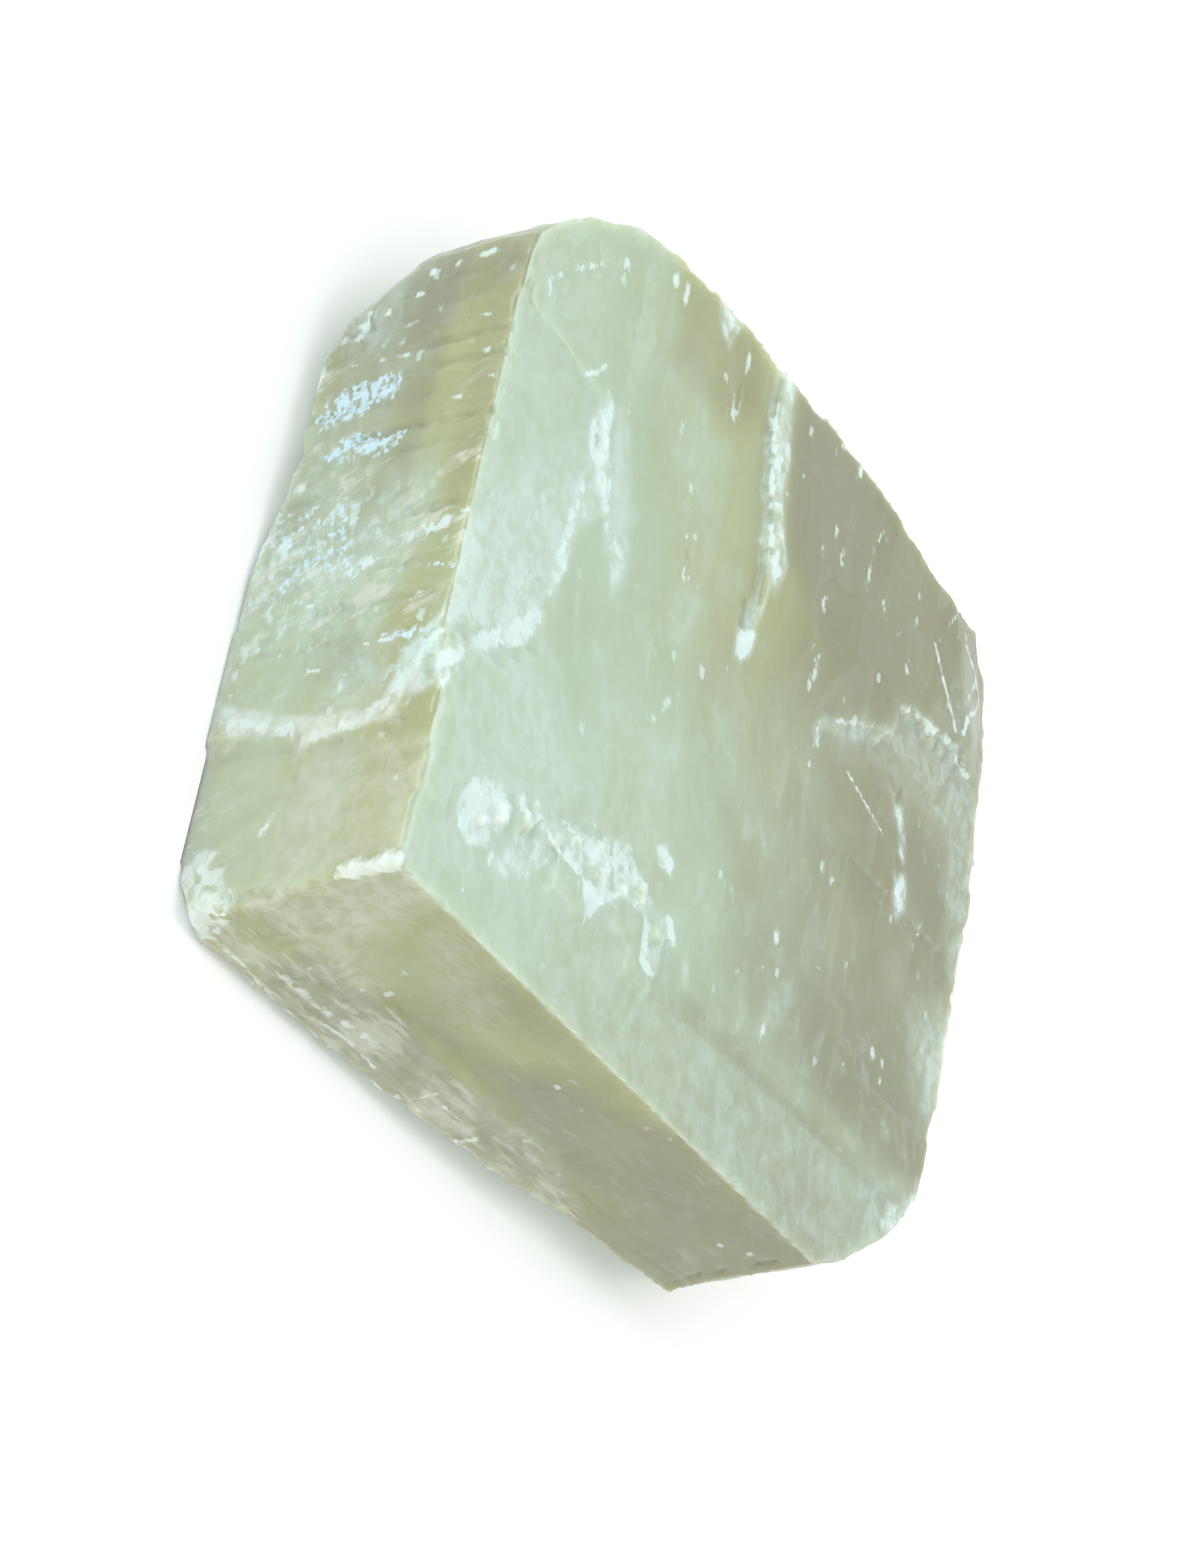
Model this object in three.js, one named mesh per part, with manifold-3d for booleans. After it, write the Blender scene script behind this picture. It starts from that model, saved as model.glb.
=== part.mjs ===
// A hand-sized slab of rough green calcite, broken from a bigger mass along calcite's three cleavage
// planes. Its flat faces, ledges and notches all follow those planes, so the stone is worked out in
// slanted coordinates: millimetres along the three edges that meet at its near corner.
// Units are millimetres. +Z is up, and the slab lies on its broad lower cleavage face, at z = 0.

import * as THREE from "three";
import { mergeVertices } from "three/addons/utils/BufferGeometryUtils.js";
import Module from "manifold-3d";

const wasm = await Module();
wasm.setup();

// Driving dimensions. The near corner is the blunt end of the rhombohedron, where three obtuse face
// angles meet.
const FACE_ANGLE = 101.92;
const ACROSS = 96.6;
const ALONG = 90.6;
const DEEP = 26.8;
// The near corner's place over the base, which puts the middle of the slab's box on the origin.
const NEAR_CORNER_X = -43.65;
const NEAR_CORNER_Y = -33;

// Sheets that still stand proud of the main level of each of the three near faces.
const TOP_SHEET = 1.3;
const LEFT_SHEET = 0.9;
const FRONT_SHEET = 0.9;
// How far a cutter reaches past the stone, and the thinnest sliver that is kept.
const CLEAR = 12;
const SLIVER = 0.02;

// The three edge directions. "across" runs to the right, "along" to the back and "deep" down to the base.
const cosine = Math.cos(THREE.MathUtils.degToRad(FACE_ANGLE));
const lean = cosine / (1 + cosine);
const across = new THREE.Vector3(Math.sqrt(1 - cosine ** 2), cosine, 0);
const along = new THREE.Vector3(0, 1, 0);
const deep = new THREE.Vector3().addVectors(across, along).multiplyScalar(lean);
deep.z = -Math.sqrt(1 - deep.lengthSq());

// Each family of parallel faces is drawn on by two edge directions and cut into along the third.
const TOP = [across, along, deep];
const LEFT = [along, deep, across];
const FRONT = [across, deep, along];

// A small seeded generator, so the stone breaks the same way each time.
function seeded(seed) {
  let state = seed;
  return () => {
    state = (state + 0x6d2b79f5) | 0;
    let mixed = Math.imul(state ^ (state >>> 15), 1 | state);
    mixed = (mixed + Math.imul(mixed ^ (mixed >>> 7), 61 | mixed)) ^ mixed;
    return ((mixed ^ (mixed >>> 14)) >>> 0) / 4294967296;
  };
}

function between(random, low, high) {
  return low + (high - low) * random();
}

// A point given by its slanted coordinates.
function place(p, q, r) {
  return new THREE.Vector3().addScaledVector(across, p).addScaledVector(along, q).addScaledVector(deep, r);
}

// A geometry reduced to its positions, with one vertex at each corner.
function shared(geometry) {
  const bare = new THREE.BufferGeometry();
  bare.setAttribute("position", geometry.getAttribute("position"));
  if (geometry.index) bare.setIndex(geometry.index);
  return mergeVertices(bare, 1e-4);
}

function solidOf(geometry) {
  const merged = shared(geometry);
  const mesh = new wasm.Mesh({
    numProp: 3,
    vertProperties: new Float32Array(merged.attributes.position.array),
    triVerts: new Uint32Array(merged.index.array),
  });
  return new wasm.Manifold(mesh);
}

// An outline without the corners where it runs straight on, doubles back or stands still.
function turning(outline) {
  const corners = [...outline];
  for (let i = 0; i < corners.length; i++) {
    const [beforeU, beforeV] = corners.at(i - 1);
    const [u, v] = corners[i];
    const [afterU, afterV] = corners[(i + 1) % corners.length];
    const bend = (u - beforeU) * (afterV - v) - (v - beforeV) * (afterU - u);
    if (Math.abs(bend) > 1e-6) continue;
    corners.splice(i, 1);
    i = -1;
  }
  return corners;
}

// A slanted prism: an outline on a face, carried along the third edge direction, so its walls follow the
// cleavage too. A left-handed face turns it inside out, and swapping two corners turns it back.
function prism(face, outline, from, to) {
  const shape = new THREE.Shape(turning(outline).map(([u, v]) => new THREE.Vector2(u, v)));
  const geometry = new THREE.ExtrudeGeometry(shape, { depth: to - from, bevelEnabled: false });
  geometry.translate(0, 0, from);
  const slant = new THREE.Matrix4().makeBasis(...face);
  geometry.applyMatrix4(slant);
  if (slant.determinant() < 0) {
    const corners = geometry.getAttribute("position");
    for (let i = 0; i < corners.count; i += 3) {
      const second = new THREE.Vector3().fromBufferAttribute(corners, i + 1);
      const third = new THREE.Vector3().fromBufferAttribute(corners, i + 2);
      corners.setXYZ(i + 1, ...third);
      corners.setXYZ(i + 2, ...second);
    }
  }
  return solidOf(geometry);
}

function rectangle(u0, v0, u1, v1) {
  return [
    [u0, v0],
    [u1, v0],
    [u1, v1],
    [u0, v1],
  ];
}

// The ragged edge of a broken sheet. Calcite tears in small stairs along its cleavage, so the line
// moves along one edge direction and then the other.
function torn(points, pieceLength, raggedness, random) {
  const line = [points[0]];
  for (let i = 1; i < points.length; i++) {
    const [fromU, fromV] = points[i - 1];
    const [toU, toV] = points[i];
    const length = Math.hypot(toU - fromU, toV - fromV);
    const pieces = Math.max(1, Math.round(length / pieceLength));
    const alongU = Math.abs(toU - fromU) > Math.abs(toV - fromV);
    for (let piece = 1; piece <= pieces; piece++) {
      const share = piece / pieces;
      const stray = piece === pieces ? 0 : between(random, -raggedness, raggedness);
      const u = fromU + (toU - fromU) * share + (alongU ? 0 : stray);
      const v = fromV + (toV - fromV) * share + (alongU ? stray : 0);
      const [lastU, lastV] = line[line.length - 1];
      line.push(alongU ? [u, lastV] : [lastU, v], [u, v]);
    }
  }
  return line;
}

// Takes sheets off a face, over the ground between a ledge and the points beyond it. Each deeper sheet
// stops a little short of the one above, so the ledge goes down in stairs.
function cleave(face, { ledge, ground = [], from, to, sheets = 1, setBack = [0, 0], tear = [3, 0.4], seed }) {
  const random = seeded(seed);
  const outside = from - Math.sign(to - from) * CLEAR;
  const cuts = [];
  for (let sheet = 0; sheet < sheets; sheet++) {
    const shifted = ledge.map(([u, v]) => [u + setBack[0] * sheet, v + setBack[1] * sheet]);
    const outline = [...torn(shifted, ...tear, random), ...ground];
    const level = from + ((to - from) * (sheet + 1)) / sheets;
    cuts.push(prism(face, outline, Math.min(outside, level), Math.max(outside, level)));
  }
  return cuts;
}

// A break that doesn't follow the cleavage: a rough, faceted surface through three points of the stone,
// which takes off everything on its outer side. Its grid is widest along the line from first to second.
function fracture({ through, width, height, cell = 3, roughness = 0.3, seed }) {
  const random = seeded(seed);
  const [first, second, third] = through.map((slanted) => place(...slanted));
  const middle = new THREE.Vector3().add(first).add(second).add(third).divideScalar(3);
  const x = new THREE.Vector3().subVectors(second, first).normalize();
  const z = new THREE.Vector3().subVectors(third, first).cross(x).normalize();
  const heart = place(ACROSS / 2, ALONG / 2, DEEP / 2);
  if (z.dot(new THREE.Vector3().subVectors(middle, heart)) < 0) z.negate();
  const y = new THREE.Vector3().crossVectors(z, x);
  const columns = Math.max(1, Math.round(width / cell));
  const rows = Math.max(1, Math.round(height / cell));
  const slab = shared(new THREE.BoxGeometry(width, height, CLEAR, columns, rows, 1));
  const corners = slab.getAttribute("position");
  for (let i = 0; i < corners.count; i++) {
    if (corners.getZ(i) > 0) continue;
    corners.setX(i, corners.getX(i) + between(random, -0.3, 0.3) * cell);
    corners.setY(i, corners.getY(i) + between(random, -0.3, 0.3) * cell);
    corners.setZ(i, corners.getZ(i) + between(random, -roughness, roughness));
  }
  slab.translate(0, 0, CLEAR / 2);
  slab.applyMatrix4(new THREE.Matrix4().makeBasis(x, y, z).setPosition(middle));
  return solidOf(slab);
}

// The outline of the slab from above. The left back corner and the right front corner were knocked off
// on planes that run straight down, and the right back corner is rounded.
function blank() {
  const outline = [
    [-LEFT_SHEET, -FRONT_SHEET],
    [77.4, -FRONT_SHEET],
    [80, 1.2],
    [84.6, 3.8],
    [90.6, 8.6],
    [94.4, 13],
    [96.4, 18],
    [ACROSS + 0.5, 24],
    [ACROSS + 0.5, 61],
    [ACROSS - 0.4, 61.8],
    [ACROSS - 0.4, 75],
    [ACROSS + 0.2, 75.8],
    [ACROSS - 0.1, 84],
    [95.2, 89.6],
    [92.6, 91.4],
    [87, 89.7],
    [78.6, 88.4],
    [70, 88.7],
    [69.2, 89.6],
    [60, 90.3],
    [50.4, 90.8],
    [49.4, 90.2],
    [44.8, 90.4],
    [43.8, 91.4],
    [36.4, 91.9],
    [35.4, 91.4],
    [29.8, 91.3],
    [28.8, 90.8],
    [19, 89.9],
    [14.8, 89.2],
    [7.6, 83.6],
    [-LEFT_SHEET, 76],
  ];
  return prism(TOP, outline, -TOP_SHEET, DEEP);
}

// The broad upper face. A thick sheet is left at the back right, behind a long ledge that runs along
// the left cleavage and then zigzags to the right edge. The two strips by the sharp near edges are low.
function topLedges() {
  return [
    ...cleave(TOP, {
      ledge: [
        [44.2, ALONG + 9],
        [44.6, 83.8],
        [46.4, 75.7],
        [47.4, 64.7],
        [45.8, 56.9],
        [50.4, 54.2],
        [61.7, 57.2],
        [67, 61.6],
        [76, 65.2],
        [77.4, 69.4],
        [86.2, 71],
        [91.4, 70],
        [ACROSS + 9, 66],
      ],
      ground: [
        [ACROSS + 9, -9],
        [-9, -9],
        [-9, ALONG + 9],
      ],
      from: -TOP_SHEET,
      to: 0,
      sheets: 2,
      setBack: [-0.9, -0.9],
      tear: [3, 0.5],
      seed: 11,
    }),
    ...cleave(TOP, {
      ledge: [
        [-9, 67],
        [5, 66.4],
        [14.8, 65.6],
        [16.6, 57.6],
        [15.1, 50.2],
        [13.7, 43],
        [13.6, 34.6],
        [7, 27.5],
        [-9, 25],
      ],
      ground: [],
      from: 0,
      to: 0.45,
      sheets: 2,
      setBack: [-0.6, 0],
      tear: [3, 0.5],
      seed: 12,
    }),
    ...cleave(TOP, {
      ledge: [
        [-9, 8.6],
        [5, 9.4],
        [8.6, 13.6],
        [14.2, 12.6],
        [17.4, 16.8],
        [22.4, 15.2],
        [25.6, 11.6],
        [28.4, 11.4],
        [30, 14.6],
        [36.4, 13.2],
        [38.6, 10.8],
        [41.4, 11.2],
        [43.2, 18],
        [46.6, 15.2],
        [61.5, 15],
        [ACROSS + 9, 16],
      ],
      ground: [
        [ACROSS + 9, -9],
        [-9, -9],
      ],
      from: 0,
      to: 0.55,
      sheets: 2,
      setBack: [0, -0.7],
      tear: [3.4, 0.3],
      seed: 13,
    }),
    ...cleave(TOP, {
      ledge: [
        [71.6, 47],
        [72, 29],
        [79, 24],
        [ACROSS + 9, 25],
      ],
      ground: [[ACROSS + 9, 47]],
      from: 0,
      to: 0.35,
      tear: [5, 0.6],
      seed: 14,
    }),
  ];
}

// The left side. Its upper part keeps a thin sheet that ends in a wandering ledge near the front, and
// the sheet is scored by narrow strips that came away along the front cleavage.
function leftLedges() {
  const random = seeded(20);
  const scores = [];
  for (let q = 27; q < 73; q += between(random, 2.6, 4.6)) {
    const top = between(random, -6, 14);
    const bottom = top + between(random, 9, 24);
    const width = between(random, 0.8, 2.2);
    const strip = {
      ledge: [[q, top], [q, bottom]],
      ground: [[q + width, bottom], [q + width * 0.3, top]],
      from: -LEFT_SHEET,
      to: -LEFT_SHEET + between(random, 0.2, 0.5),
      tear: [4, 0.2],
      seed: 200 + Math.round(q * 10),
    };
    scores.push(...cleave(LEFT, strip));
  }
  return [
    ...scores,
    ...cleave(LEFT, {
      ledge: [
        [24.2, -9],
        [23.6, 2.2],
        [18.8, 4.4],
        [15.9, 6.6],
        [15.6, 14.8],
        [18.2, 16.8],
        [18.8, 24],
        [19.2, DEEP + 9],
      ],
      ground: [
        [-9, DEEP + 9],
        [-9, -9],
      ],
      from: -LEFT_SHEET,
      to: 0,
      sheets: 3,
      setBack: [-0.7, 0],
      tear: [2.4, 0.3],
      seed: 31,
    }),
    ...cleave(LEFT, {
      ledge: [
        [13.4, 16],
        [3.5, 15.8],
        [-9, 15.6],
      ],
      ground: [
        [-9, -9],
        [13.4, -9],
      ],
      from: 0,
      to: 0.3,
      tear: [4, 0.3],
      seed: 32,
    }),
  ];
}

// The front side. Thin sheets are left along its foot, each lower one standing further out, so the foot
// looks like a flight of shallow stairs.
function frontLedges() {
  const stairs = [
    { depth: 15, level: 0 },
    { depth: 18.6, level: -0.3 },
    { depth: 22, level: -0.6 },
  ];
  return stairs.flatMap(({ depth, level }, i) =>
    cleave(FRONT, {
      ledge: [
        [-9, depth - 1],
        [12, depth + 0.6],
        [31, depth - 0.4],
        [46, depth + 1.6],
        [60 - 5 * i, depth + 2.4],
        [66 - 5 * i, DEEP + 9],
      ],
      ground: [
        [ACROSS + 9, DEEP + 9],
        [ACROSS + 9, -9],
        [-9, -9],
      ],
      from: -FRONT_SHEET - i * 0.01,
      to: level,
      tear: [3.6, 0.5],
      seed: 41 + i,
    }),
  );
}

// The sides away from the near corner: big flat cleavages with a few broad sheets missing, all below
// the rim of the top.
function farLedges() {
  return [
    ...cleave(LEFT, {
      ledge: [
        [ACROSS + 9, 9],
        [66, 8.4],
        [52, 9.6],
        [44, 12.4],
        [30, 10.8],
        [22, 13],
        [-9, 12],
      ],
      ground: [
        [-9, DEEP + 9],
        [ACROSS + 9, DEEP + 9],
      ],
      from: ACROSS + 0.5,
      to: ACROSS - 1.4,
      sheets: 2,
      setBack: [0, 1.4],
      tear: [4, 0.5],
      seed: 51,
    }),
    ...cleave(LEFT, {
      ledge: [
        [38, DEEP + 9],
        [37, 19],
        [52, 16.4],
        [60, 18.6],
        [ALONG + 9, 17.6],
      ],
      ground: [[ALONG + 9, DEEP + 9]],
      from: ACROSS - 1.4,
      to: ACROSS - 3.2,
      sheets: 2,
      setBack: [0, 0.9],
      tear: [5, 0.6],
      seed: 52,
    }),
    ...cleave(FRONT, {
      ledge: [
        [-9, 10],
        [22, 11.6],
        [34, 8.4],
        [58, 10],
        [63, 15],
        [ACROSS + 9, 16],
      ],
      ground: [
        [ACROSS + 9, DEEP + 9],
        [-9, DEEP + 9],
      ],
      from: ALONG + 2.1,
      to: ALONG - 1.1,
      sheets: 3,
      setBack: [0, 1],
      tear: [4.6, 0.5],
      seed: 53,
    }),
  ];
}

// The base is one clean cleavage. A few shallow sheets are gone from its rim, and it stands on the rest.
function baseLedges() {
  const rims = [
    {
      ledge: [[-9, 48], [9, 46], [11, 33], [-9, 30]],
      depth: 0.5,
    },
    {
      ledge: [[64, ALONG + 9], [62, 80], [80, 74], [ACROSS + 9, 76]],
      ground: [[ACROSS + 9, ALONG + 9]],
      depth: 0.8,
    },
    {
      ledge: [[38, -9], [40, 6], [55, 8], [57, -9]],
      depth: 0.4,
    },
    {
      ledge: [[ACROSS + 9, 40], [86, 38], [84, 22], [ACROSS + 9, 18]],
      depth: 0.7,
    },
  ];
  return rims.flatMap(({ ledge, ground = [], depth }, i) =>
    cleave(TOP, { ledge, ground, from: DEEP, to: DEEP - depth, tear: [4.5, 0.6], seed: 61 + i }),
  );
}

// Corners and edges that broke off rough.
function breaks() {
  const left = -LEFT_SHEET;
  const front = -FRONT_SHEET;
  const top = -TOP_SHEET;
  const places = [
    // The right back corner of the top, in two slopes.
    {
      through: [[82.4, 88, top], [89.6, 73, top], [96.6, 84, 2]],
      width: 44,
      height: 34,
      roughness: 0.2,
    },
    {
      through: [[90, 95.5, 4], [100.5, 81, 5], [96.6, 90, 16]],
      width: 40,
      height: 50,
      cell: 4,
      roughness: 0.4,
    },
    // The back corner of the left side, from half way down.
    {
      through: [[left, 77.4, 12.4], [left, 69.4, 21.8], [13, 84, 24.6]],
      width: 40,
      height: 40,
      cell: 4,
    },
    // The scalloped foot of the left side.
    {
      through: [[left, 70.8, 20.6], [left, 61, 25.2], [6, 67, 26.8]],
      width: 15,
      height: 18,
    },
    {
      through: [[left, 62, 23.8], [left, 50, 24], [3.4, 56, 26.8]],
      width: 15,
      height: 14,
    },
    {
      through: [[left, 51, 24], [left, 38, 26.6], [2.6, 47, 26.8]],
      width: 17,
      height: 14,
    },
    // The crushed left end of the foot.
    {
      through: [[left, 6.4, 26.6], [1.4, front, 25.2], [3, 3, 27.1]],
      width: 18,
      height: 10,
      cell: 2,
      roughness: 0.3,
    },
    {
      through: [[left, 0.2, 18], [left, 0.6, 26], [0.3, front, 22]],
      width: 12,
      height: 4,
      cell: 2.2,
      roughness: 0.2,
    },
    // The ragged foot of the front side.
    {
      through: [[4, front, 26], [34, front, 24.8], [20, 2, 26.9]],
      width: 36,
      height: 8,
      cell: 2.4,
      roughness: 0.35,
    },
    {
      through: [[32, front, 24.8], [54, front, 22], [46, 5, 26.9]],
      width: 27,
      height: 18,
      cell: 2.4,
      roughness: 0.35,
    },
    {
      through: [[50, front, 22.6], [78, front, 18.4], [66, 8.5, 26.9]],
      width: 44,
      height: 30,
      roughness: 0.4,
    },
    // The back and right edges of the base.
    {
      through: [[8, 89, 24], [40, 89, 22.5], [24, 85, 26.9]],
      width: 50,
      height: 16,
      cell: 4,
      roughness: 0.5,
    },
    {
      through: [[96, 10, 23.4], [96, 44, 21], [91, 28, 26.9]],
      width: 56,
      height: 20,
      cell: 4,
      roughness: 0.5,
    },
    {
      through: [[72, 92, 22], [97, 72, 21], [80, 78, 26.9]],
      width: 60,
      height: 24,
      cell: 4,
      roughness: 0.6,
    },
  ];
  return places.map((detail, i) => fracture({ seed: 70 + i, ...detail }));
}

// Small rhomb-shaped nicks along the sharp edges. Each edge is a line in slanted coordinates.
function nicks() {
  const random = seeded(80);
  const edges = [
    { start: [0, 3, 0], end: [0, 74, 0], run: 1, count: 17, size: 0.75 },
    { start: [6, 0, 0.5], end: [76, 0, 0.5], run: 0, count: 18, size: 0.55 },
    { start: [0, 0, 2], end: [0, 0, 24], run: 2, count: 7, size: 0.8 },
    { start: [18, ALONG, -1], end: [84, ALONG, -1], run: 0, count: 13, size: 0.8 },
    { start: [ACROSS, 26, 0], end: [ACROSS, 60, 0], run: 1, count: 8, size: 0.9 },
    { start: [77, 0, 3], end: [77, 0, 24], run: 2, count: 5, size: 0.9 },
    { start: [0, 76, 2], end: [0, 76, 20], run: 2, count: 5, size: 0.9 },
    { start: [-0.9, 76, 0], end: [15, ALONG, 0], run: 0, count: 4, size: 0.9 },
    { start: [4, ALONG - 1.9, DEEP], end: [84, ALONG - 1.9, DEEP], run: 0, count: 9, size: 1.1 },
    { start: [ACROSS - 3, 40, DEEP], end: [ACROSS - 3, 84, DEEP], run: 1, count: 6, size: 1.1 },
  ];
  const cuts = [];
  for (const { start, end, run, count, size } of edges) {
    for (let i = 0; i < count; i++) {
      const share = (i + between(random, 0.1, 0.9)) / count;
      const centre = start.map((value, axis) => value + (end[axis] - value) * share);
      const half = centre.map((_, axis) => size * between(random, 0.35, axis === run ? 2.6 : 0.9));
      const outline = rectangle(
        centre[0] - half[0],
        centre[1] - half[1],
        centre[0] + half[0],
        centre[1] + half[1],
      );
      cuts.push(prism(TOP, outline, centre[2] - half[2], centre[2] + half[2]));
    }
  }
  return cuts;
}

// Long thin pits on the broad faces, where slivers were plucked out along the left cleavage.
function pits() {
  const random = seeded(90);
  const onTop = [
    [31, 74, 3.2, 0.8, 0],
    [36.6, 79.5, 4.4, 0.9, 0],
    [38, 76, 2.6, 0.6, 0],
    [44.6, 57.6, 4.4, 1.5, 0],
    [43.2, 52.6, 1.6, 1, 0],
    [54.6, 59.6, 4, 1.3, -TOP_SHEET],
    [60.8, 77, 3.4, 0.7, -TOP_SHEET],
    [67.8, 73, 2.2, 0.6, -TOP_SHEET],
    [78.6, 55.6, 5, 1.2, 0],
    [80, 43.6, 4, 1.5, 0],
    [86.4, 37, 2.8, 0.7, 0.3],
    [60.6, 36.6, 2.4, 0.9, 0],
    [33.4, 58.6, 2.2, 0.7, 0],
  ];
  return onTop.map(([u, v, length, width, level]) => {
    const outline = torn(
      [
        [u, v],
        [u + width * 0.2, v + length],
      ],
      length / 3,
      width * 0.2,
      random,
    );
    const back = outline.map(([x, y]) => [x + width, y]).reverse();
    return prism(TOP, [...outline, ...back], level - CLEAR, level + 0.4);
  });
}

const cuts = [
  ...topLedges(),
  ...leftLedges(),
  ...frontLedges(),
  ...farLedges(),
  ...baseLedges(),
  ...breaks(),
  ...nicks(),
  ...pits(),
];

// The slab without its breaks, less crumbs and slivers too thin to be real.
function stone() {
  const bodies = blank().subtract(wasm.Manifold.union(cuts)).simplify(SLIVER).decompose();
  return bodies.reduce((biggest, body) => (body.volume() > biggest.volume() ? body : biggest));
}

function geometryOf(solid) {
  const mesh = solid.getMesh();
  const geometry = new THREE.BufferGeometry();
  geometry.setAttribute("position", new THREE.BufferAttribute(new Float32Array(mesh.vertProperties), 3));
  geometry.setIndex(new THREE.BufferAttribute(new Uint32Array(mesh.triVerts), 1));
  return geometry;
}

// Milky green calcite with the glassy lustre of fresh cleavage.
const calcite = new THREE.MeshStandardMaterial({ color: 0xb9c4a2, roughness: 0.32, metalness: 0 });

const block = new THREE.Mesh(geometryOf(stone()), calcite);
block.name = "calcite_slab";
block.position.set(NEAR_CORNER_X, NEAR_CORNER_Y, -deep.z * DEEP);

const part = new THREE.Group();
part.add(block);

export default part;
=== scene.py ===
import math

import bmesh
import bpy
import numpy as np
from mathutils import Matrix, Vector


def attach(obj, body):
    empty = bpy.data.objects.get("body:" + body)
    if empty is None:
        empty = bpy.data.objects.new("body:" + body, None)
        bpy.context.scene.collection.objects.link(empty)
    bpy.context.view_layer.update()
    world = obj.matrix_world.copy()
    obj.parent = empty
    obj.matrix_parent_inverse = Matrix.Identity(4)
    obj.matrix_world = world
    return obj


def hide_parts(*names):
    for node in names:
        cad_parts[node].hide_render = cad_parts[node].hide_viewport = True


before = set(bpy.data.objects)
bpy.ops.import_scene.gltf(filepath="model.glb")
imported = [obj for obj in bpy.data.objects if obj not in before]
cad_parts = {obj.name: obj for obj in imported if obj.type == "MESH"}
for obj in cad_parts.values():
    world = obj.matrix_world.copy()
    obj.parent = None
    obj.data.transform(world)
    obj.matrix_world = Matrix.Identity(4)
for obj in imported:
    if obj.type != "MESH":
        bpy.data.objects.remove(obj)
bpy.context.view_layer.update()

# The stone is one natural piece of milky green calcite. It grew in a solid mass and broke along the
# three cleavage planes of its crystal, so its faces, ledges and flaws all run in three slanted
# directions that meet at the near corner: across, along and deep. Places are in millimetres of these.

MM = 0.001
FACE_ANGLE = math.radians(101.92)
NEAR_CORNER = np.array((-43.65, -33.0, 25.318))

lean = math.cos(FACE_ANGLE) / (1 + math.cos(FACE_ANGLE))
across = np.array((math.sin(FACE_ANGLE), math.cos(FACE_ANGLE), 0.0))
along = np.array((0.0, 1.0, 0.0))
deep = (across + along) * lean
deep[2] = -math.sqrt(1 - deep @ deep)
cleavage = np.stack((across, along, deep), axis=1)


def place(p, q, r):
    return (NEAR_CORNER + cleavage @ np.array((p, q, r))) * MM


# Small rhombs still cling where the ledges were crushed. Each is a cleavage block, half sunk in the
# stone, and the remesh that follows joins it on.

stone_mesh = bmesh.new()
stone_mesh.from_mesh(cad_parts["calcite_slab"].data)
bmesh.ops.remove_doubles(stone_mesh, verts=stone_mesh.verts, dist=1e-6)

LEDGE_SLIVER = [
    (43.6, 89, -0.9), (44, 82, -0.9), (45.8, 74, -0.9), (47, 66, -0.9), (46.6, 63.6, -0.9),
]
CRUSHED_ZIGZAG = [
    (9, 11, 0), (12.7, 14, 0), (21.8, 17.4, 0), (28.6, 17.4, 0), (37.8, 19.4, 0), (40.6, 16, 0),
]
RIGHT_LEDGE = [
    (61.6, 57.4, -0.6), (66, 60, -0.6), (72.2, 63.6, -0.6), (77.7, 69.6, -0.6), (87.4, 71, -0.6),
]
LEFT_LEDGE = [(-0.5, 26, 1), (-0.5, 20.6, 4.6), (-0.5, 17.5, 7), (-0.5, 16.6, 13), (-0.5, 16.4, 15)]
LEFT_LEDGE_BACK = [(-0.5, 18, 16.6), (-0.5, 19.2, 20), (-0.5, 20.4, 25)]
NEAR_CHIPS = [(0, 0.6, 0.4), (0, 0.3, 4), (0, 0.1, 8)]
FOOT_CORNER = [(0.6, 4.5, 24.4), (0.4, 0.6, 22), (3, 0.2, 24.8)]
TOP_STREAK = [(15.8, 62.6, 0), (16.2, 58.8, 0), (17.9, 55.6, 0), (18.6, 53.4, 0)]

CRUMB_SCATTER = 0.4
SCATTER_EACH_WAY = (1, 1, 0.5)
SMALLEST, LARGEST = 0.35, 0.9
WIDTH, THICKNESS = 0.9, 0.6

# Each row has where the crumbs cling, how many there are, how large they are and how stretched.
chips = np.random.default_rng(5)
for line, count, size, stretch in (
    (LEDGE_SLIVER, 12, 0.75, 6.0),
    (CRUSHED_ZIGZAG, 16, 1.3, 1.2),
    (RIGHT_LEDGE, 11, 0.9, 2.4),
    (LEFT_LEDGE, 10, 0.6, 1.6),
    (LEFT_LEDGE_BACK, 6, 0.6, 1.6),
    (NEAR_CHIPS, 14, 0.8, 1.0),
    (FOOT_CORNER, 18, 0.9, 1.0),
    (TOP_STREAK, 9, 0.8, 1.4),
):
    points = [Vector(place(*point)) for point in line]
    lengths = [(b - a).length for a, b in zip(points, points[1:])]
    for turn in range(count):
        reach = (turn + chips.uniform(0, 0.999)) / count * sum(lengths)
        step = 0
        while reach > lengths[step]:
            reach -= lengths[step]
            step += 1
        centre = points[step].lerp(points[step + 1], reach / lengths[step])
        centre += Vector(cleavage @ (chips.normal(0, size * CRUMB_SCATTER, 3) * SCATTER_EACH_WAY)) * MM
        half = size * chips.uniform(SMALLEST, LARGEST, 3) * (WIDTH, stretch, THICKNESS)
        block = Matrix([[cleavage[i][j] * half[j] * 2 * MM for j in range(3)] for i in range(3)]).to_4x4()
        bmesh.ops.create_cube(stone_mesh, size=1, matrix=Matrix.Translation(centre) @ block)

stone = bpy.data.objects.new("calcite_stone", bpy.data.meshes.new("calcite_stone"))
stone_mesh.to_mesh(stone.data)
stone_mesh.free()
bpy.context.scene.collection.objects.link(stone)


def settle(piece):
    """Makes a piece's modifiers part of its mesh."""
    solved = piece.evaluated_get(bpy.context.evaluated_depsgraph_get())
    piece.data = bpy.data.meshes.new_from_object(solved)
    piece.modifiers.clear()


GRAIN = 0.485

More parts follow.
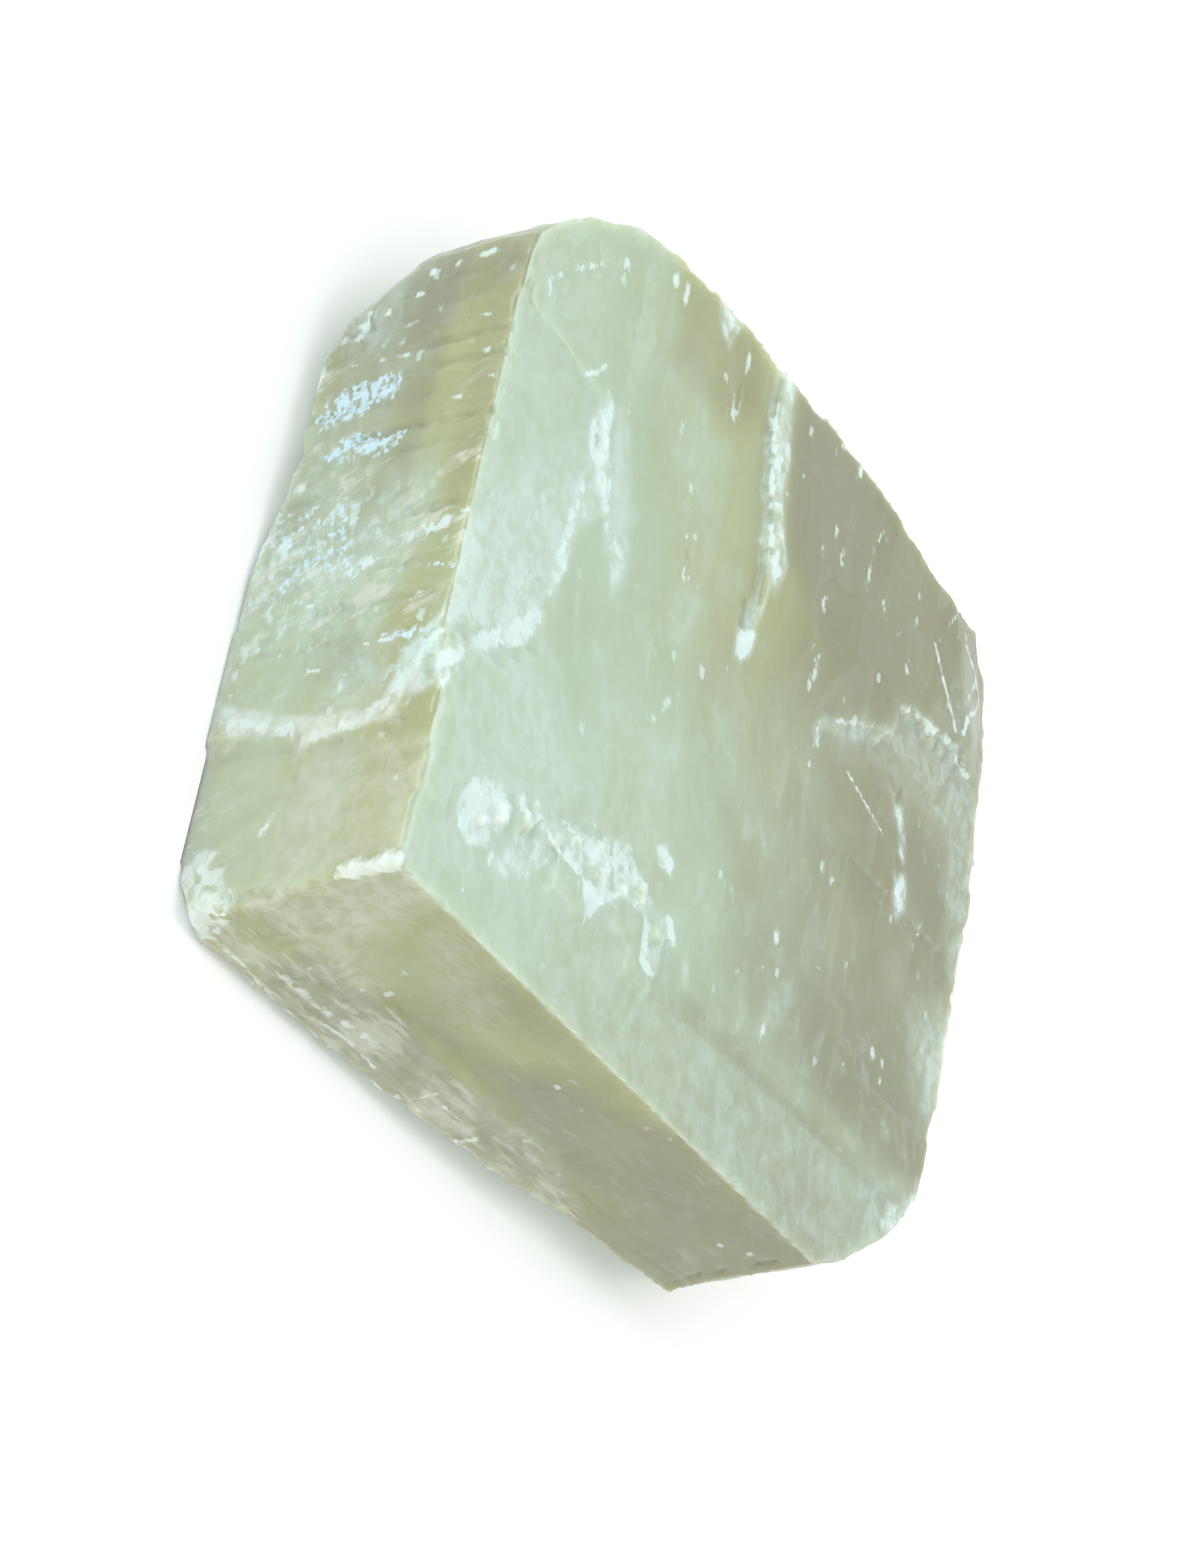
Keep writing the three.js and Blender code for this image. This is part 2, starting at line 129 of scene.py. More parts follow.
joined = stone.modifiers.new("joined", "REMESH")
joined.mode = "VOXEL"
joined.voxel_size = GRAIN * MM
joined.use_smooth_shade = True
settle(stone)

# The resting face is plain, so its mesh is thinned and the detail is kept for the faces that show.

REST_HEIGHT = 0.25
FACES_DOWN = -0.9

underside = stone.vertex_groups.new(name="underside")
low = [v.index for v in stone.data.vertices if v.co.z < REST_HEIGHT * MM and v.normal.z < FACES_DOWN]
underside.add(low, 1.0, "REPLACE")
thinned = stone.modifiers.new("thinned", "DECIMATE")
thinned.ratio = 0.5
thinned.vertex_group = "underside"
thinned.vertex_group_factor = 4
settle(stone)
stone.vertex_groups.clear()

# The upright corners away from the near edges are worn round. Each is a place across and along the
# top, and how far the wear reaches round it.

WORN_CORNERS = (
    (14.1, 87.7, 3),
    (-1, 76, 1),
    (81.4, 88.1, 3),
    (88.1, 85.8, 2.6),
    (94, 68, 2),
    (97.2, 20.5, 4),
    (90.6, 9.4, 4),
)
WEAR_FADE = 5
WEAR_SHARE = 0.6
WEAR_ROUNDS = 90


def read_spots(piece):
    """Where every point of a piece is, and the same as places across, along and deep."""
    found = np.empty(len(piece.data.vertices) * 3)
    piece.data.vertices.foreach_get("co", found)
    found = found.reshape(-1, 3)
    return found, *np.linalg.solve(cleavage, (found / MM - NEAR_CORNER).T)


def move_spots(piece, found):
    piece.data.vertices.foreach_set("co", found.ravel())
    piece.data.update()


spots, p, q, r = read_spots(stone)
count = len(spots)
ends = np.empty(len(stone.data.edges) * 2, dtype=int)
stone.data.edges.foreach_get("vertices", ends)
ends = ends.reshape(-1, 2)
meets = np.bincount(ends.ravel(), minlength=count)[:, None]
worn = np.zeros(count)
for corner_p, corner_q, spread in WORN_CORNERS:
    past = (np.hypot(p - corner_p, q - corner_q) - spread) / WEAR_FADE
    worn = np.maximum(worn, 1 - np.clip(past, 0, 1))
worn = WEAR_SHARE * worn[:, None]
touched = ends[worn[ends, 0].max(axis=1) > 0]
for _ in range(WEAR_ROUNDS):
    middle = np.zeros((count, 2))
    np.add.at(middle, touched[:, 0], spots[touched[:, 1], :2])
    np.add.at(middle, touched[:, 1], spots[touched[:, 0], :2])
    spots[:, :2] += worn * (middle / meets - spots[:, :2])
move_spots(stone, spots)

# Between the long sliver and the right ledge the upper sheet thins out without a step. It does so
# round a slanting line across the top, given by where it starts and ends, a place on it and its slope.

THIN_FROM, THIN_TO = 46, 61
THIN_LINE_P, THIN_LINE_Q = 45.4, 51.5
THIN_SLOPE = 0.36
THIN_REACH = 12
HEIGHT_PER_DEPTH = 0.9447
UPPER_SHEET = 24.6


def smooth(low, high, x):
    t = np.clip((x - low) / (high - low), 0, 1)
    return t * t * (3 - 2 * t)


on_line = np.clip(p, THIN_FROM, THIN_TO)
away = np.hypot(p - on_line, q - THIN_LINE_Q - THIN_SLOPE * (on_line - THIN_LINE_P))
thins = (1 - smooth(1, THIN_REACH, away)) * (spots[:, 2] / MM > UPPER_SHEET)
spots[:, 2] += np.where(r < 0, r, 0) * thins * HEIGHT_PER_DEPTH * MM
move_spots(stone, spots)

# Relief. Fresh cleavage is never quite flat: it is a stack of thin sheets that end in low steps. The
# left side is striated down its depth, the front side is layered along its length, and the top has
# faint steps both ways. Each line of relief gives the step height and the size of the sheets.

CLOUD_SIZE = 64
STREAK_LEAN = 0.5
FINE_STEP, LOW_STEP, FRONT_STEP, ROUGH_STEP = 0.07, 0.05, 0.18, 0.16
EDGE_WEAR = 0.4
CUT_IN = 0.3
NEARLY_FACING, FACING = 0.86, 0.97
LEAST_SHARE, SHARPNESS = 0.05, 12
PLAIN_BELOW, DETAILED_ABOVE = 0.3, 1.5


def cloud(seed, *axes):
    """Smooth random values between 0 and 1 over two or three axes."""
    table = np.random.default_rng(seed).random((CLOUD_SIZE,) * len(axes))
    floor = [np.floor(axis).astype(int) for axis in axes]
    share = [smooth(0, 1, axis - base) for axis, base in zip(axes, floor)]
    total = np.zeros_like(axes[0])
    for corner in np.ndindex((2,) * len(axes)):
        weight = np.ones_like(axes[0])
        index = []
        for offset, base, part in zip(corner, floor, share):
            weight *= part if offset else 1 - part
            index.append((base + offset) % CLOUD_SIZE)
        total += weight * table[tuple(index)]
    return total


def sheets(x, riser=0.3):
    """Flat treads with short soft risers between them."""
    base = np.floor(x)
    return base + smooth(1 - riser, 1, x - base)


spots, p, q, r = read_spots(stone)
normals = np.empty(count * 3, dtype=np.float32)
stone.data.vertices.foreach_get("normal", normals)
normals = normals.reshape(-1, 3).astype(float)

top_normal = np.array((0.0, 0.0, 1.0))
left_normal = np.cross(deep, along)
left_normal *= -np.sign(left_normal @ across) / np.linalg.norm(left_normal)
front_normal = np.cross(deep, across)
front_normal *= -np.sign(front_normal @ along) / np.linalg.norm(front_normal)
outward = np.stack((top_normal, left_normal, front_normal, -left_normal, -front_normal, -top_normal))
facing = normals @ outward.T
flat_top, flat_left, flat_front, flat_right, flat_back, flat_base = smooth(NEARLY_FACING, FACING, facing).T
flat = np.clip(flat_top + flat_left + flat_front + flat_right + flat_back + flat_base, 0, 1)
shares = np.clip(facing, LEAST_SHARE, 1) ** SHARPNESS
on_top, on_left, on_front, on_right, on_back, on_base = (shares / shares.sum(axis=1, keepdims=True)).T
above_base = smooth(PLAIN_BELOW, DETAILED_ABOVE, spots[:, 2] / MM)

slanted = q + STREAK_LEAN * r
relief = FINE_STEP * sheets(cloud(1, p / 9, q / 21) * 5) * flat_top
relief += FINE_STEP * sheets(cloud(2, slanted / 2.4, r / 11) * 4) * flat_left
relief += FINE_STEP * sheets(cloud(8, q / 1.1, r / 7) * 3) * flat_left * smooth(22, 30, q)
relief += FRONT_STEP * sheets(cloud(3, p / 13, r / 2.6) * 4) * flat_front * smooth(12, 17, r)
relief += LOW_STEP * sheets(cloud(4, p / 21, r / 6) * 3) * flat_front
relief += ROUGH_STEP * sheets(cloud(5, slanted / 3, r / 12) * 4) * flat_right
relief += ROUGH_STEP * sheets(cloud(6, p / 16, r / 3.4) * 4) * flat_back
relief += EDGE_WEAR * (cloud(7, p / 1.7, q / 1.7, r / 1.7) - 0.5) * (1 - flat)
spots += normals * ((relief - CUT_IN) * above_base)[:, None] * MM
spots[:, 2] = np.maximum(spots[:, 2], 0)
move_spots(stone, spots)

# Colour. The stone is pale mint where fine flaws scatter the light, olive where it is clear and deep,
# umber towards the right, and white where it was crushed. Part of the olive and umber is painted shade,
# and the flakes' blue-white is a painted glint. Soft patches are worked out here for every point of the
# mesh, and the material breaks them up into crystals.


def away_from(line):
    """How far every point is from a line through slanted places, in millimetres."""
    points = [place(*point) / MM for point in line]
    nearest = np.full(count, 1e9)
    here = spots / MM
    for start, end in zip(points, points[1:]):
        run = end - start
        share = np.clip((here - start) @ run / (run @ run), 0, 1)
        nearest = np.minimum(nearest, np.linalg.norm(here - start - share[:, None] * run, axis=1))
    return nearest


def inside(u, v, corners, soft):
    """1 inside a patch drawn on a face, falling to 0 over a soft rim."""
    result = np.zeros(count, dtype=bool)
    edge = np.full(count, 1e9)
    for (u0, v0), (u1, v1) in zip(corners, corners[1:] + corners[:1]):
        crosses = (v0 > v) != (v1 > v)
        with np.errstate(divide="ignore", invalid="ignore"):
            result ^= crosses & (u < (u1 - u0) * (v - v0) / (v1 - v0) + u0)
        length = (u1 - u0) ** 2 + (v1 - v0) ** 2
        share = np.clip(((u - u0) * (u1 - u0) + (v - v0) * (v1 - v0)) / length, 0, 1)
        edge = np.minimum(edge, np.hypot(u - u0 - share * (u1 - u0), v - v0 - share * (v1 - v0)))
    return smooth(-soft, soft, np.where(result, edge, -edge))


def band(line, width, strength):
    """Strongest along a line, and gone a little past its width."""
    return strength * (1 - smooth(0.3 * width, 1.3 * width, away_from(line)))


def patched(values, where, u, v, patches):
    """Lays soft patches over a map wherever they are stronger than it."""
    for corners, soft, strength in patches:
        values = np.maximum(values, strength * where * inside(u, v, corners, soft))
    return values


UNDER_TOP, AT_TOP = 23.6, 24.6
AT_LEFT, PAST_LEFT = 2.0, 3.0
near_top = smooth(UNDER_TOP, AT_TOP, spots[:, 2] / MM)
near_left = 1 - smooth(AT_LEFT, PAST_LEFT, p)

# White bruises run along the ledges, cracks and edges. Each row has a line of places, how wide the
# bruise is and how strong.
crushed = np.zeros(count)
for line, width, strength in (
    ([(42.6, 89.2, -0.8), (43.2, 81.7, -0.8), (44.7, 74.6, -0.8), (46.2, 70, -0.8),
      (45.9, 65, -0.8)], 0.5, 0.9),
    ([(47.4, 69, -0.8), (47.8, 65.4, -0.8)], 1.0, 0.9),
    ([(38.6, 17.4, 0), (39, 13.2, 0), (41.4, 12.8, 0), (43.3, 14.6, 0), (43.6, 18.2, 0),
      (42, 20, 0)], 0.85, 1.1),
    ([(18.5, 17.8, 0), (21, 15.8, 0), (27, 15.3, 0), (29.2, 11.2, 0), (31, 15.6, 0),
      (38, 17, 0)], 0.4, 0.95),
    ([(22, 19, 0), (27, 18.2, 0), (31, 20.4, 0), (35.5, 19.6, 0)], 0.35, 0.9),
    (RIGHT_LEDGE, 0.6, 0.72),
    ([(77.3, 69.5, -0.6), (81, 69.3, -0.6), (86, 70.6, -0.6), (92, 69, -0.6),
      (94, 66, -0.6)], 0.8, 0.66),
    ([(61.6, 57, 0), (62, 53.5, 0), (61.6, 50.5, 0)], 0.9, 0.7),
    ([(68.4, 55.2, 0), (77.1, 52.7, 0)], 0.3, 0.95),
    ([(31.8, 36, 0), (35.2, 42, 0)], 0.9, 0.6),
    ([(65.8, 85.3, -1.3), (64.6, 82, -1.3), (64.6, 77.5, -1.3)], 0.5, 0.75),
    ([(54.5, 88.2, -1.3), (54.6, 84.2, -1.3)], 0.5, 0.6),
    ([(7.1, 63.9, 0), (10, 64.5, 0), (13.3, 67.5, 0), (14.2, 69, 0)], 0.6, 0.8),
    ([(3.2, 71.7, 0), (5.7, 74.6, 0), (10.6, 79.5, 0)], 0.45, 0.85),
    ([(0.4, 60, 0), (0.2, 55, 0)], 0.9, 0.7),
    ([(0.4, 51.5, 0), (0.2, 49.5, 0)], 1.0, 0.7),
    ([(0.2, 22, 0), (-0.6, 18.5, 0)], 1.0, 0.7),
    ([(0, 0.6, 1.2), (0, 0.3, 5)], 1.9, 0.95),
    ([(0, 0.3, 6.8), (0, 0.3, 7.6)], 0.9, 0.85),
    ([(0, 1.6, 5), (0, 0.6, 12), (0, 0.4, 18)], 0.7, 0.5),
    (FOOT_CORNER, 3.2, 0.85),
    (LEFT_LEDGE, 1.0, 0.8),
    (LEFT_LEDGE_BACK, 1.0, 0.8),
    ([(-0.9, 28.5, 1), (-0.9, 24.6, 5), (-0.9, 21, 6), (-0.9, 18.4, 8)], 1.5, 0.4),
    ([(79.8, 80.2, -1.1), (83, 86, -1.1)], 0.35, 0.66),
    ([(79.4, 79.5, -1.1), (82.3, 76.5, -1.1), (86.4, 72.3, -1.1)], 0.45, 0.9),
    ([(86.7, 84.5, -0.6), (91, 83.6, 0.5), (93.6, 82, 1)], 0.5, 0.95),
    ([(93.6, 82, 1), (91.5, 78.5, 0.2), (88.5, 75.9, -1.1), (87.9, 73.1, -1.1)], 0.5, 0.95),
    ([(87.7, 77.1, -1.1), (91.7, 83.3, 0.7)], 0.4, 0.85),
    ([(0, 6.7, 17.4), (0, 9, 17)], 0.7, 0.7),
    ([(-0.9, 26.4, 9.8), (-0.9, 26.4, 3.2)], 0.45, 0.9),
    ([(-0.9, 29.2, 22.5), (-0.9, 27.4, 19.8)], 0.6, 0.7),
    ([(-0.9, 35.2, 14), (-0.9, 38, 9.4), (-0.9, 40, -0.5)], 1.1, 0.62),
    ([(-0.9, 33.4, 21), (-0.9, 33, 17)], 0.9, 0.62),
    ([(-0.9, 62.8, 19.6), (-0.9, 62.4, 10.6)], 0.45, 0.62),
    ([(-0.9, 64.6, 16.3), (-0.9, 67.1, 12.2)], 0.4, 0.6),
    ([(-0.9, 66.2, 19.6), (-0.9, 69, 19)], 1.0, 0.7),
    ([(-0.9, 64, 24), (-0.9, 61, 23)], 1.0, 0.6),
    ([(28, -0.9, 16.9), (35.4, -0.9, 17), (46, -0.9, 14)], 0.5, 0.5),
    ([(5, -0.9, 24.4), (9, -0.9, 24.1), (14, -0.9, 24.6)], 0.45, 0.85),
    ([(12, -0.9, 18.4), (19, -0.9, 17.8)], 0.35, 0.65),
    ([(20, -0.9, 22.8), (24, -0.9, 22.2), (29, -0.9, 22.6)], 0.45, 0.8),
    ([(30, -0.9, 24.8), (38, -0.9, 23.8)], 0.45, 0.8),
    ([(37.4, -0.9, 20), (44, -0.9, 18.8)], 0.4, 0.8),
    ([(48, -0.9, 17.4), (55, -0.9, 15.8)], 0.4, 0.7),
    ([(45.8, -0.9, 19.4), (46.8, -0.9, 16), (47.8, -0.9, 12.4)], 0.45, 0.9),
    ([(44, -0.9, 23.7), (44.1, -0.9, 20.2)], 0.6, 0.85),
    ([(23.2, -0.3, 0.2), (24.8, -0.3, 0.7)], 0.5, 0.9),
    ([(26.4, 0.2, 0.2), (27.8, -0.2, 0.4)], 0.4, 0.75),
    ([(43, 0.1, 0.3), (45.4, 0, 0.5)], 0.5, 0.8),
    ([(0.6, 0.8, 0), (3.6, 2.6, 0), (8.6, 6.2, 0)], 0.35, 0.7),
    ([(0.4, 2, 0), (5.5, 9.5, 0)], 0.35, 0.62),
    ([(45, -0.6, 14), (48.4, -0.6, 13.4)], 0.8, 0.85),
    ([(35.4, -0.9, 23.2), (35.2, -0.9, 17)], 0.4, 0.8),
    ([(10, -0.6, 21.8), (18, -0.6, 21.4), (26, -0.9, 20)], 0.9, 0.62),
    ([(0, 2, 26), (20, -0.9, 25.6), (46, -0.9, 25)], 1.2, 0.6),
    ([(0.2, 30, 26), (-0.5, 50, 25.8), (0, 62, 24.5)], 1.3, 0.6),
):
    crushed = np.maximum(crushed, band(line, width, strength))

# Small flaws show as white flecks, on the top and then on the left side. Each row has the place of
# the middle, then half the size along the stone and half the size the other way.
TOP_FLECKS = (
    (28.7, 71.9, 1.5, 0.8), (35.5, 78.4, 1.6, 0.6), (36.8, 81.1, 2.4, 0.8), (14.1, 81.1, 2.2, 1.2),
    (22.6, 86.9, 1.2, 0.6), (24.9, 86.5, 2.6, 0.5), (37.5, 87.3, 1.8, 0.5), (3.1, 70.7, 1.4, 0.5),
    (32.8, 60, 1.6, 0.4), (33.7, 56.9, 1.4, 0.4), (45.4, 56.4, 2.6, 0.9), (44.2, 52.1, 1, 0.7),
    (58.6, 61.5, 3, 0.8), (57.1, 79.1, 1.3, 0.4), (59, 76.9, 1.5, 0.5), (55.2, 74.5, 1.2, 0.4),
    (55.8, 90.4, 2.4, 0.7), (59.7, 88.8, 1.4, 0.4), (57.2, 69.2, 1.6, 0.5), (68.2, 76.7, 1, 0.6),
    (74.8, 79.1, 1, 0.5), (26.9, 74.1, 0.9, 0.5), (74.8, 73.1, 1, 0.6), (69, 41.4, 0.9, 0.5),
    (87.3, 47, 1.2, 0.4), (87.1, 44.6, 1, 0.4), (95.2, 55.3, 1.2, 0.5), (60.9, 29.9, 1.3, 0.7),
    (54.9, 21.9, 0.8, 0.4), (61.3, 17.6, 2, 0.5), (82.4, 27.9, 1.4, 0.6), (84.8, 25.8, 1, 0.5),
    (79.4, 39.8, 0.8, 0.4), (10, 3, 0.8, 0.5),
)
TOP_FLECK_WHITE, LEFT_FLECK_WHITE = 0.7, 0.72
for centre_p, centre_q, half_along, half_across in TOP_FLECKS:
    far = np.hypot((p - centre_p) / half_across, (q - centre_q) / half_along)
    crushed = np.maximum(crushed, TOP_FLECK_WHITE * on_top * (1 - smooth(0.4, 1.7, far)))
LEFT_FLECKS = (
    (72.6, 11.6, 0.5, 0.9), (73, 8.8, 0.6, 0.5), (73.3, 5.3, 0.6, 1.6), (70, 13.4, 0.4, 1.1),
    (68.7, 16.6, 0.4, 0.6), (75.2, 8.6, 0.5, 0.7), (55.1, 5.2, 0.35, 1.0), (56.8, 1.6, 0.4, 0.5),
    (64.9, 4.1, 0.4, 0.8), (70.6, 1.9, 0.8, 0.5), (66, 7.4, 0.4, 0.7), (60.4, 3, 0.4, 0.5),
    (62.8, 22.4, 1.6, 0.6), (48, 22.6, 0.7, 1.0), (44.6, 19.6, 0.6, 0.9), (41, 22.4, 0.6, 1.0),
    (31, 4.6, 0.5, 0.9), (22.2, 11.4, 1.3, 0.5), (24.6, 15.4, 0.5, 1.2), (10.4, 3.4, 0.5, 0.4),
)
for centre_q, centre_r, half_along, half_deep in LEFT_FLECKS:
    far = np.hypot((q - centre_q) / half_along, (r - centre_r) / half_deep)
    crushed = np.maximum(crushed, LEFT_FLECK_WHITE * on_left * (1 - smooth(0.4, 1.7, far)))

# Edges are a little white, but for the one between the top and the left side, and those of the clear
# corner at the far right. The left side is dusty white all over, and more so where it is flaky.
GLASSY_CORNER = [(79.6, 80), (83, 86), (90, 89), (97, 84), (96, 76), (88, 72.6), (84.6, 74.2)]
glassy = inside(p, q, GLASSY_CORNER, 1.0) * near_top
RIM_WHITE = 0.36
rim = (1 - flat) * (1 - near_left * near_top) * (1 - 0.8 * glassy)
crushed = np.maximum(crushed, RIM_WHITE * rim)
FLAKY_PLACE = [(24, 28), (52, 28), (50, 15), (42, 9), (33, 12), (26, 14)]
flaky = inside(q, r, FLAKY_PLACE, 3.0)
crushed = np.maximum(crushed, on_left * (0.18 + 0.22 * flaky))

# Milky veils, first those on the top. Each row has the corners of a patch, how soft its rim is and
# how strong it is.
TOP_VEILS = (
    ([(-2, 26), (4, 29.5), (12, 34), (14, 48.5), (17.6, 52), (16.5, 64), (13, 61), (2, 49),
      (-2, 55)], 0.8, 1.15),
    ([(61.7, 56), (72, 63), (77.7, 69), (88, 71.6), (94, 69), (97, 60), (91, 57), (85, 60), (78, 60),
      (70, 58)], 3, 0.3),
    ([(91, 69), (98, 66), (99, 46), (95, 44), (90, 58)], 2.0, 0.5),
    ([(81, 72), (88, 85), (93, 82), (95, 69)], 2.5, 0.25),
    ([(89, 36), (98, 44), (99, 29), (94.2, 26), (91, 31)], 3.2, 0.6),
    ([(-2, 8), (-2, 30), (14, 33), (24, 26), (24, 12), (8, 8)], 4, 0.5),
    ([(10, 68), (13, 92), (19, 94), (20, 76), (18, 68)], 3.0, 0.36),
    ([(23, 20), (23, 38), (38, 38), (38, 20)], 4, 0.3),
    ([(84, 14), (97, 19), (97, 2), (86, 4)], 3.0, 0.5),
    ([(60, 17), (62.5, 18), (65.2, 22.5), (65, 26.8), (62.8, 25.4), (60.8, 21)], 0.9, 0.35),
    ([(0, -2), (0, 11), (41, 11), (54, 12.2), (81, 13.8), (97, 15), (97, -2)], 0.5, 0.3),
    ([(0, 0), (5.5, 10.5), (9, 9.5), (13.4, 8), (10, 4.5), (4, 1)], 1.2, 0.5),
    ([(6, 6), (14, 18), (30, 20), (44, 21), (45, 12), (30, 9), (20, 6)], 2.5, 0.4),
    ([(27, 68), (33, 66), (36, 73), (31, 76)], 2.5, 0.25),
    ([(31, 48), (36, 47), (38, 56), (34, 56)], 1.6, 0.3),
    ([(16.6, 67.4), (20, 65.4), (22.6, 58.6), (24.3, 51.3), (23.2, 46.4), (20, 50.4),
      (17.4, 58)], 0.9, 0.55),
)
LEFT_RIM_VEIL = [(-2, 50), (-2, 92), (11, 92), (13, 50)]
veil = patched(np.zeros(count), on_top, p, q, TOP_VEILS)
veil *= 1 - (0.35 * smooth(33, 44, q) + 0.6 * smooth(38, 56, q - 0.8 * p)) * (p < 18)
veil = patched(veil, on_top, p, q, [(LEFT_RIM_VEIL, 4.0, 0.3)])
LEFT_VEILS = (
    ([(17, 15.6), (27, 14), (36, 12), (44, 14), (56, 13), (62, 20), (60, 28), (17, 28)], 2.5, 0.22),
    ([(27, 10), (29, 18), (36, 20), (42, 13), (47, 11), (46, 7), (38, 5)], 2.5, 0.42),
    ([(19, 6), (19, 14), (25, 14), (27, 6)], 1.5, 0.45),
    ([(61, 15), (66, 25), (74, 24), (74, 14)], 3, 0.4),
    ([(0, 16), (15, 16), (21, 28), (0, 28)], 1.0, 0.12),
    ([(0, -1), (15, -1), (15, 15.8), (0, 15.8)], 2.0, 0.42),
    ([(48, 24), (48, 19), (62, 11), (64, 22)], 3, 0.25),
)
FRONT_VEILS = (
    ([(-2, -2), (6, -2), (11, 12), (18, 14), (17, 18), (-2, 19)], 3.0, 0.5),
    ([(3, 20), (12, 19), (20, 16.6), (37, 16.4), (50, 14.8), (60, 18), (60, 28), (0, 28)], 0.9, 0.22),
    ([(8, 2), (16, 2), (30, 9), (26, 12), (14, 7)], 2.5, 0.25),
)
veil = patched(veil, on_left, q, r, LEFT_VEILS)
veil = patched(veil, on_front, p, r, FRONT_VEILS)

# The white ledges and bruises of the top, drawn by their outlines. Each also clouds the stone round
# it. The thin sheet's edge on the left side follows.
TOP_BRUISES = (
    ([(6.1, 12.1), (7.4, 14.5), (11.6, 16.9), (13.4, 16.4), (14, 12.9), (12.1, 9.1), (8.9, 7.5),
      (7.3, 8.6)], 0.7, 0.82),
    ([(11.5, 8.4), (14.7, 11.3), (19.5, 12.1), (20.2, 11.3), (17.9, 9), (14.2, 7.7)], 0.9, 0.6),
    ([(13, 9), (15, 14.5), (20, 15.5), (23, 14.6), (20.6, 12)], 1.0, 0.45),
    ([(88, 12), (95.5, 19), (97, 12), (90, 7)], 2.0, 0.62),
    ([(14.7, 16.9), (15.7, 17.9), (16.8, 16.4), (16.1, 14.3)], 0.3, 0.9),
    ([(16.7, 18), (17.9, 18.7), (18.9, 17.2), (18.2, 15.1)], 0.3, 0.8),
    ([(18.5, 17.8), (23.2, 19.4), (28, 20.6), (33.4, 24.9), (33.8, 22.4), (37.7, 21.5), (39.4, 19.5),
      (38.2, 16.8), (35.4, 17), (32, 16.7), (30.2, 14.3), (29.2, 10.9), (28.2, 13.3), (27.1, 15.3),
      (23.7, 15.1), (20.9, 15.8)], 0.8, 0.52),
    ([(24, 18.6), (33, 23.6), (37.4, 21.2), (38.8, 19), (33, 18.4), (27, 16.6)], 1.0, 0.72),
    ([(38.2, 16.8), (39.5, 19.2), (42.3, 19.9), (43.3, 18.3), (43.1, 14.3), (41.3, 12.8),
      (38.9, 13.2)], 0.5, 0.38),
    ([(27, 15.4), (29.1, 10.9), (31, 14.4), (33.4, 17.4)], 0.5, 0.92),
    ([(37.6, 26.1), (39.2, 27), (41.4, 26.1), (41.2, 24.4), (38.6, 24.3)], 0.4, 0.9),
    ([(42.9, 90.4), (45.1, 90.6), (45.4, 85), (46.6, 81), (46.3, 76.3), (48.2, 71), (49.4, 69),
      (49, 66), (47.8, 63.6), (46.3, 66.3), (46.1, 72), (44.3, 76.6), (43.4, 80.1),
      (43, 84.8)], 0.4, 0.56),
    ([(44.5, 57.5), (45.9, 58.9), (47.1, 58.3), (47.3, 56.1), (45.9, 54.3), (44.7, 54.3)], 0.5, 0.95),
    ([(60.6, 55.6), (62, 58.2), (66.8, 60.6), (74.8, 65.2), (77.3, 69.5), (85.8, 70.8), (93.2, 68.8),
      (95.6, 60.1), (93.6, 56.3), (89.2, 60), (84, 63), (76, 62.5), (67.5, 58.4)], 1.0, 0.27),
    ([(76.9, 59.1), (80.6, 57.6), (82, 54), (82, 52), (80.8, 52.6), (79.4, 56.6)], 0.8, 0.74),
    ([(80.4, 49.6), (82.7, 51), (83.8, 46.6), (82.4, 45.4), (81.2, 47.6)], 0.8, 0.82),
    ([(30.6, 91), (35.5, 91), (33.8, 86.2), (31.4, 88)], 0.5, 0.6),
    ([(9.1, 33.9), (11.8, 37.8), (13.2, 37.6), (12.1, 32.8), (7.1, 29.1), (3, 26),
      (3.1, 28.3)], 0.5, 0.85),
    ([(-1.4, 22.9), (1.3, 25.9), (3.1, 25.7), (0.9, 22.2), (-0.6, 21.5)], 0.5, 0.9),
    ([(14.5, 58), (15.5, 54), (14.9, 47.4), (15, 44), (13.4, 39.3), (12.4, 40), (13.4, 47)], 0.5, 0.72),
    ([(13.9, 61.6), (15.5, 67), (16.9, 66), (17.9, 60.7), (19.3, 57), (20.1, 54.5), (18.2, 53.1),
      (15.9, 57), (14.6, 59.4)], 0.5, 0.74),
    ([(19, 53.4), (20.8, 54), (22.2, 52.4), (23.4, 54.4), (23.9, 50.3), (22.7, 46), (21, 49.6),
      (19, 52)], 0.5, 0.56),
)
SHEET_EDGE = [
    (23.2, 26.2), (18.4, 23.8), (17.7, 17.1), (15.1, 15.3), (16, 13), (16.6, 4.8), (19.1, 3.7),
    (20.4, -0.4), (28.1, 1.3), (24.5, 4.9), (20.7, 5.7), (18.6, 6.8), (19, 13.8), (20.3, 18.6),
]
cloudy_round = [
    (corners, 0.35 + 0.5 * soft, 0.25 + 0.75 * strength) for corners, soft, strength in TOP_BRUISES
]
crushed = patched(crushed, near_top, p, q, TOP_BRUISES)
veil = patched(veil, near_top, p, q, cloudy_round)
crushed = patched(crushed, near_left, q, r, [(SHEET_EDGE, 0.5, 0.26)])
veil = patched(veil, near_left, q, r, [(SHEET_EDGE, 0.5, 0.9)])
veil = np.maximum(veil, (0.25 + 0.35 * near_top) * rim + 0.3 * (on_right + on_back) * smooth(8, 18, r))
